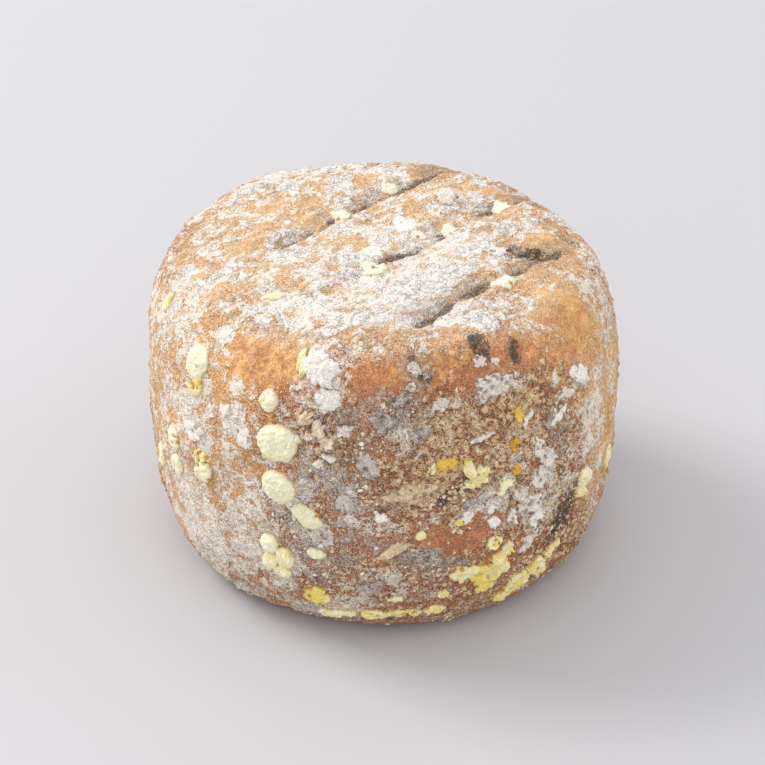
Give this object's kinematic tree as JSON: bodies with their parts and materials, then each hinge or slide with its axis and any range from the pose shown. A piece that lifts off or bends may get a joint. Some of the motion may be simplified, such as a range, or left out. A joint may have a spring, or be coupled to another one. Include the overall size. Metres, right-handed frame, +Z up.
{
  "type": "cheese wheel",
  "caption": "Small natural-rind cheese wheel: a low, soft-shouldered barrel with rack marks across the top, a crusty mould-covered rind and a flat foot.",
  "frame": {"origin": "middle of the object's footprint, on the plane the wheel stands on", "axes": "+Z up along the wheel's axis, from the foot to the top face; -Y is the front and +X the right of it, with the rack marks on the top face running from front left to back right"},
  "size_m": [0.1206, 0.1194, 0.082],
  "materials": {
    "rind": "dry, mottled orange-brown natural rind under a powdery cream and grey mould bloom, fully matt",
    "yellow_mould": "pale sulphur-yellow crusts of mould on the rind, dry, pitted and fully matt"
  },
  "bodies": {
    "root": {"cheese_wheel": "rind"}
  },
  "joints": []
}
